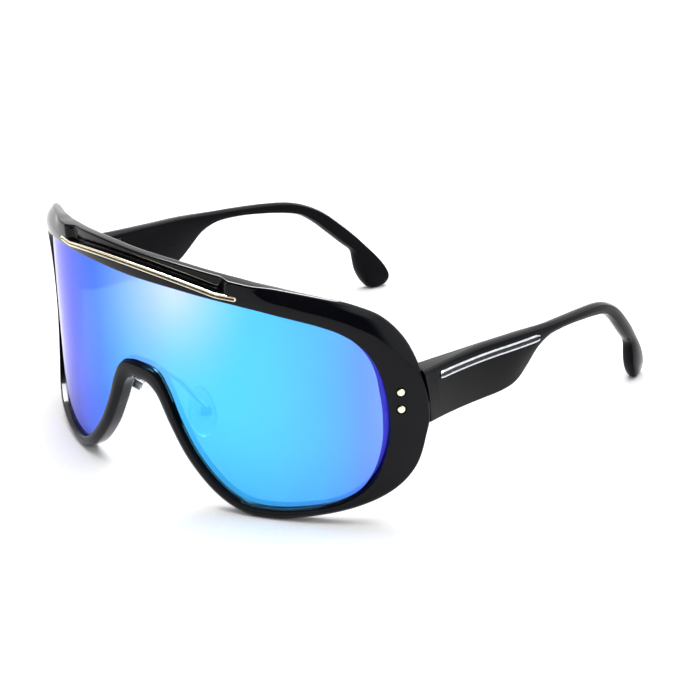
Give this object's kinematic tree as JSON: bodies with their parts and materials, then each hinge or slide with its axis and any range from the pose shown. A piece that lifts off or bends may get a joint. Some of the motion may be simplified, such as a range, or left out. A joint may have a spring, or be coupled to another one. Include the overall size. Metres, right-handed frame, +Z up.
{
  "type": "shield sunglasses",
  "caption": "Wrapped one-lens shield sunglasses with a moulded front, arched brow trim, folding temples that hook behind the ears, and rocking nose pads on wire arms.",
  "frame": {"origin": "on the table, under the middle of the open glasses' box", "axes": "+X to the wearer's left, +Y back along the temples, +Z up; the front faces -Y"},
  "size_m": [0.1384, 0.155, 0.0679],
  "materials": {
    "black_acetate": "polished gloss black",
    "mirror_lens": "blue mirror coat on polycarbonate",
    "gold_metal": "polished pale gold",
    "steel": "satin stainless",
    "chrome_inlay": "polished chrome",
    "clear_silicone": "clear soft silicone",
    "clear_core": "clear polycarbonate"
  },
  "bodies": {
    "front": {"front_frame": "black_acetate", "shield_lens": "mirror_lens", "brow_trim": "gold_metal", "lug_rivets_left": "gold_metal", "lug_rivets_right": "gold_metal", "front_hinge_left": "steel", "front_hinge_right": "steel", "hinge_screw_left": "steel", "hinge_screw_right": "steel", "pad_arm_left": "steel", "pad_arm_right": "steel", "pad_screw_left": "steel", "pad_screw_right": "steel"},
    "temple_left": {"temple_left": "black_acetate", "temple_inlay_left": "chrome_inlay", "temple_hinge_left": "steel", "leaf_screws_left": "steel"},
    "temple_right": {"temple_right": "black_acetate", "temple_inlay_right": "chrome_inlay", "temple_hinge_right": "steel", "leaf_screws_right": "steel"},
    "pad_left": {"nose_pad_left": "clear_silicone", "pad_core_left": "clear_core"},
    "pad_right": {"nose_pad_right": "clear_silicone", "pad_core_right": "clear_core"}
  },
  "joints": [
    {"name": "fold_left", "type": "hinge", "parent": "front", "child": "temple_left", "pos_m": [0.0618, -0.0339, 0.03551], "axis": [0, 0, 1], "range_deg": [0, 92]},
    {"name": "fold_right", "type": "hinge", "parent": "front", "child": "temple_right", "pos_m": [-0.0618, -0.0339, 0.03551], "axis": [0, 0, -1], "range_deg": [0, 81]},
    {"name": "rock_left", "type": "hinge", "parent": "front", "child": "pad_left", "pos_m": [0.0127, -0.06259, 0.023], "axis": [0.4695, 0.8829, 0], "range_deg": [-8, 8]},
    {"name": "rock_right", "type": "hinge", "parent": "front", "child": "pad_right", "pos_m": [-0.0127, -0.06259, 0.023], "axis": [0.4695, -0.8829, 0], "range_deg": [-8, 8]}
  ]
}
